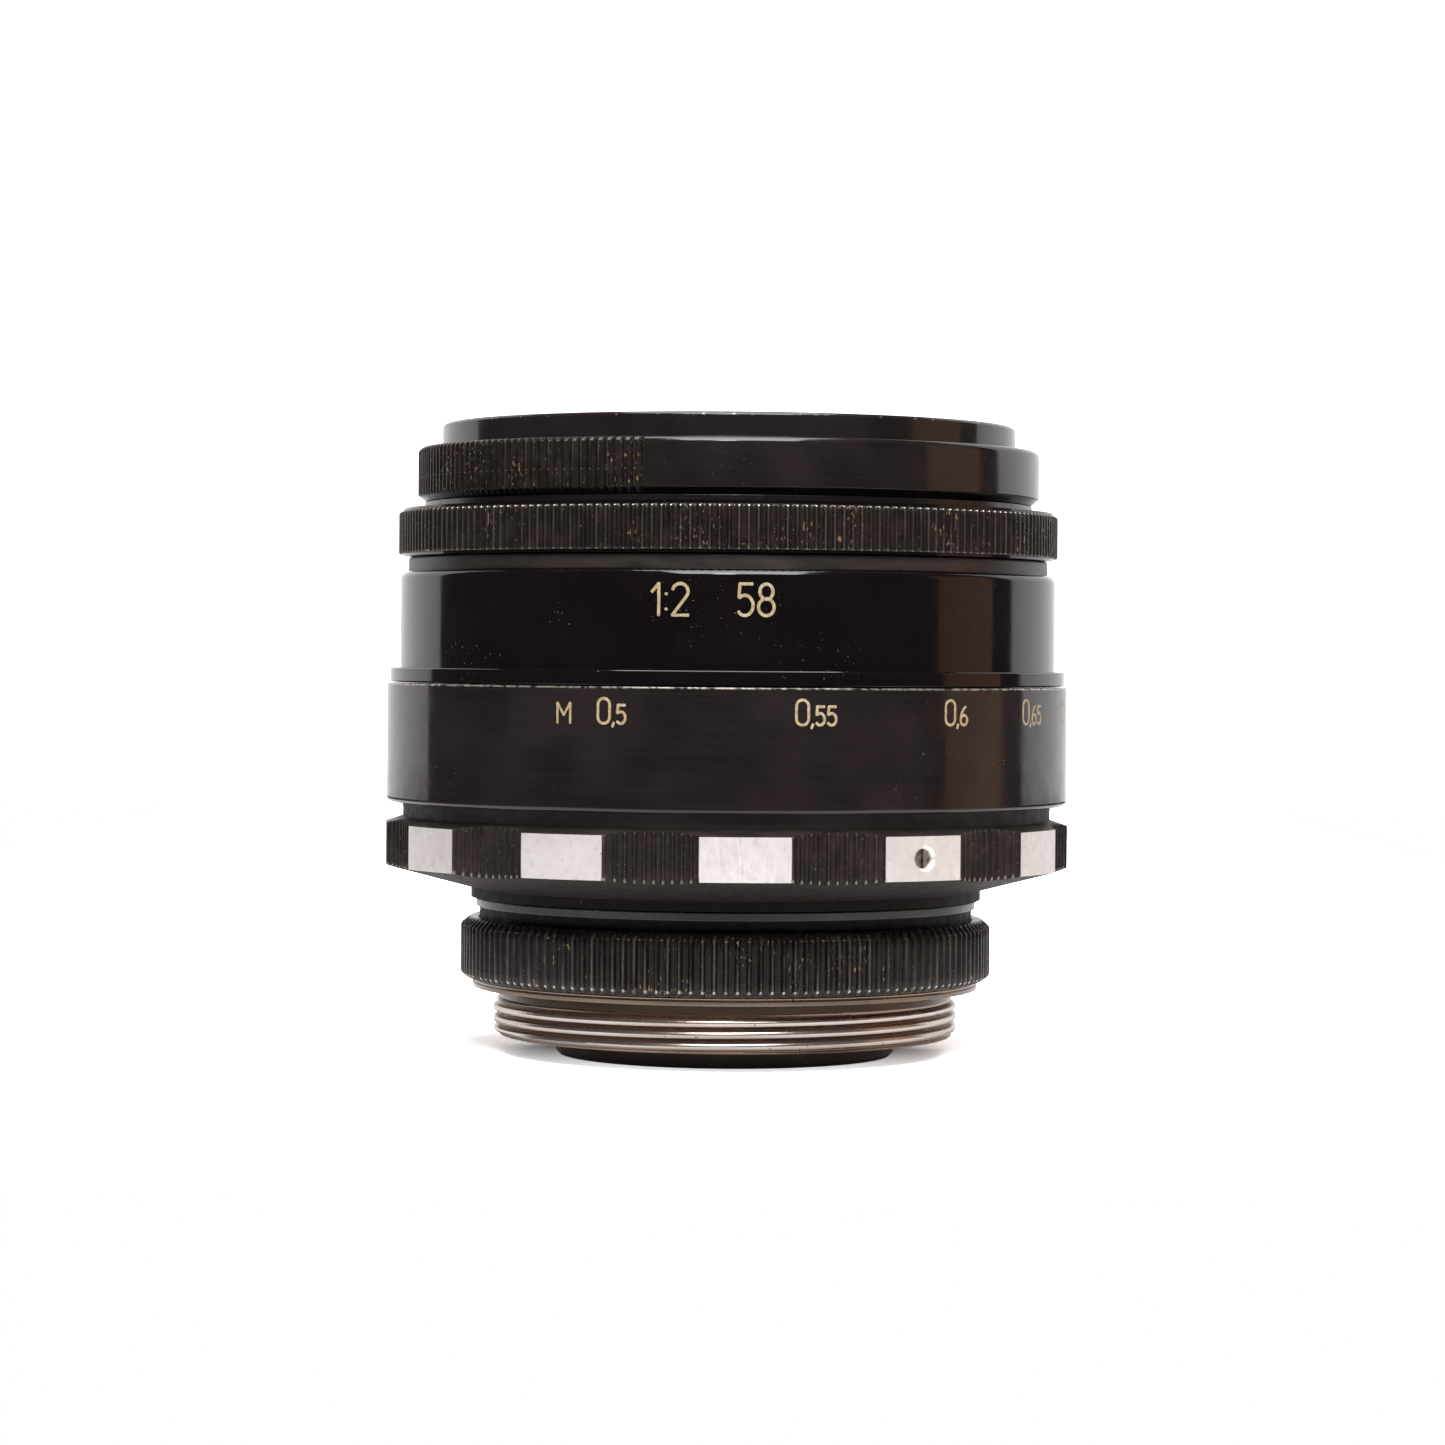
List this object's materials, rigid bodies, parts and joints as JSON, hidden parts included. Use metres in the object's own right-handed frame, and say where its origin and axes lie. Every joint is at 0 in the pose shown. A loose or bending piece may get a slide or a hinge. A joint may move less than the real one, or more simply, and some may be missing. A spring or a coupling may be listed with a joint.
{
  "type": "screw-mount camera lens",
  "caption": "Manual-focus camera lens with a screw mount, scalloped focusing ring, aperture and preset rings, and a working leaf iris.",
  "frame": {"origin": "on the optical axis in the plane of the rear cell's rear face, on which the lens stands", "axes": "+Z along the optical axis towards the front, -Y towards the person who reads the near-focus end of the distance scale"},
  "size_m": [0.0618, 0.0618, 0.0567],
  "materials": {
    "black_anodised_aluminium": "gloss black anodised, worn at the edges",
    "matt_black_aluminium": "matt black anodised",
    "bare_aluminium": "turned, satin",
    "blackened_brass": "blackened, worn to the metal on the thread",
    "brass": "turned",
    "steel": "satin",
    "blued_steel": "blued, satin",
    "coated_glass": "polished, with a pale violet coating"
  },
  "bodies": {
    "mount_base": {"mount_ring": "blackened_brass", "mount_screws": "steel", "guide_barrel": "black_anodised_aluminium"},
    "lens_head": {"head_tube": "black_anodised_aluminium", "guide_key_1": "brass", "guide_key_2": "brass", "key_screws": "steel", "focus_keeper_ring": "matt_black_aluminium", "focus_stop_screw": "steel", "front_barrel": "black_anodised_aluminium", "front_body": "black_anodised_aluminium", "ring_spacer": "black_anodised_aluminium", "filter_ring": "black_anodised_aluminium", "name_ring": "black_anodised_aluminium", "click_ball": "steel", "click_spring": "steel", "iris_pivot_plate": "matt_black_aluminium", "front_cell": "matt_black_aluminium", "front_lens": "coated_glass", "front_lens_retainer": "black_anodised_aluminium", "second_lens": "coated_glass", "third_lens": "coated_glass", "front_doublet_retainer": "matt_black_aluminium", "rear_cell": "black_anodised_aluminium", "fourth_lens": "coated_glass", "fifth_lens": "coated_glass", "rear_lens_spacer": "matt_black_aluminium", "rear_lens": "coated_glass", "rear_lens_retainer": "black_anodised_aluminium"},
    "focus_ring": {"focus_grip_ring": "black_anodised_aluminium", "grip_set_screws": "steel", "focus_sleeve": "bare_aluminium", "distance_ring": "black_anodised_aluminium"},
    "iris_ring": {"aperture_ring": "black_anodised_aluminium", "aperture_drive_screw": "steel", "iris_drive_sleeve": "matt_black_aluminium", "iris_cam_ring": "matt_black_aluminium"},
    "stop_ring": {"preset_ring": "black_anodised_aluminium"},
    "leaf_1": {"iris_leaf_1": "blued_steel"},
    "leaf_2": {"iris_leaf_2": "blued_steel"},
    "leaf_3": {"iris_leaf_3": "blued_steel"},
    "leaf_4": {"iris_leaf_4": "blued_steel"},
    "leaf_5": {"iris_leaf_5": "blued_steel"},
    "leaf_6": {"iris_leaf_6": "blued_steel"},
    "leaf_7": {"iris_leaf_7": "blued_steel"},
    "leaf_8": {"iris_leaf_8": "blued_steel"}
  },
  "joints": [
    {"name": "head_slide", "type": "slide", "parent": "mount_base", "child": "lens_head", "axis": [0, 0, 1], "range_m": [0, 0.00902]},
    {"name": "focus_turn", "type": "hinge", "parent": "lens_head", "child": "focus_ring", "pos_m": [0, 0, 0.02], "axis": [0, 0, 1], "range_deg": [0, 270]},
    {"name": "aperture_turn", "type": "hinge", "parent": "lens_head", "child": "iris_ring", "pos_m": [0, 0, 0.047], "axis": [0, 0, 1], "range_deg": [0, 54]},
    {"name": "preset_turn", "type": "hinge", "parent": "lens_head", "child": "stop_ring", "pos_m": [0, 0, 0.052], "axis": [0, 0, 1], "range_deg": [0, 54]},
    {"name": "leaf_1_turn", "type": "hinge", "parent": "lens_head", "child": "leaf_1", "pos_m": [0.0164, 0, 0.0199], "axis": [0, 0, 1], "range_deg": [0, 36]},
    {"name": "leaf_2_turn", "type": "hinge", "parent": "lens_head", "child": "leaf_2", "pos_m": [0.0116, 0.0116, 0.0199], "axis": [0, 0, 1], "range_deg": [0, 36]},
    {"name": "leaf_3_turn", "type": "hinge", "parent": "lens_head", "child": "leaf_3", "pos_m": [0, 0.0164, 0.0199], "axis": [0, 0, 1], "range_deg": [0, 36]},
    {"name": "leaf_4_turn", "type": "hinge", "parent": "lens_head", "child": "leaf_4", "pos_m": [-0.0116, 0.0116, 0.0199], "axis": [0, 0, 1], "range_deg": [0, 36]},
    {"name": "leaf_5_turn", "type": "hinge", "parent": "lens_head", "child": "leaf_5", "pos_m": [-0.0164, 0, 0.0199], "axis": [0, 0, 1], "range_deg": [0, 36]},
    {"name": "leaf_6_turn", "type": "hinge", "parent": "lens_head", "child": "leaf_6", "pos_m": [-0.0116, -0.0116, 0.0199], "axis": [0, 0, 1], "range_deg": [0, 36]},
    {"name": "leaf_7_turn", "type": "hinge", "parent": "lens_head", "child": "leaf_7", "pos_m": [0, -0.0164, 0.0199], "axis": [0, 0, 1], "range_deg": [0, 36]},
    {"name": "leaf_8_turn", "type": "hinge", "parent": "lens_head", "child": "leaf_8", "pos_m": [0.0116, -0.0116, 0.0199], "axis": [0, 0, 1], "range_deg": [0, 36]}
  ],
  "couplings": [
    {"joint": "head_slide", "follows": "focus_turn", "m_per_rad": 0.0019141},
    {"joint": "leaf_1_turn", "follows": "aperture_turn", "ratio": 0.66667},
    {"joint": "leaf_2_turn", "follows": "aperture_turn", "ratio": 0.66667},
    {"joint": "leaf_3_turn", "follows": "aperture_turn", "ratio": 0.66667},
    {"joint": "leaf_4_turn", "follows": "aperture_turn", "ratio": 0.66667},
    {"joint": "leaf_5_turn", "follows": "aperture_turn", "ratio": 0.66667},
    {"joint": "leaf_6_turn", "follows": "aperture_turn", "ratio": 0.66667},
    {"joint": "leaf_7_turn", "follows": "aperture_turn", "ratio": 0.66667},
    {"joint": "leaf_8_turn", "follows": "aperture_turn", "ratio": 0.66667}
  ]
}
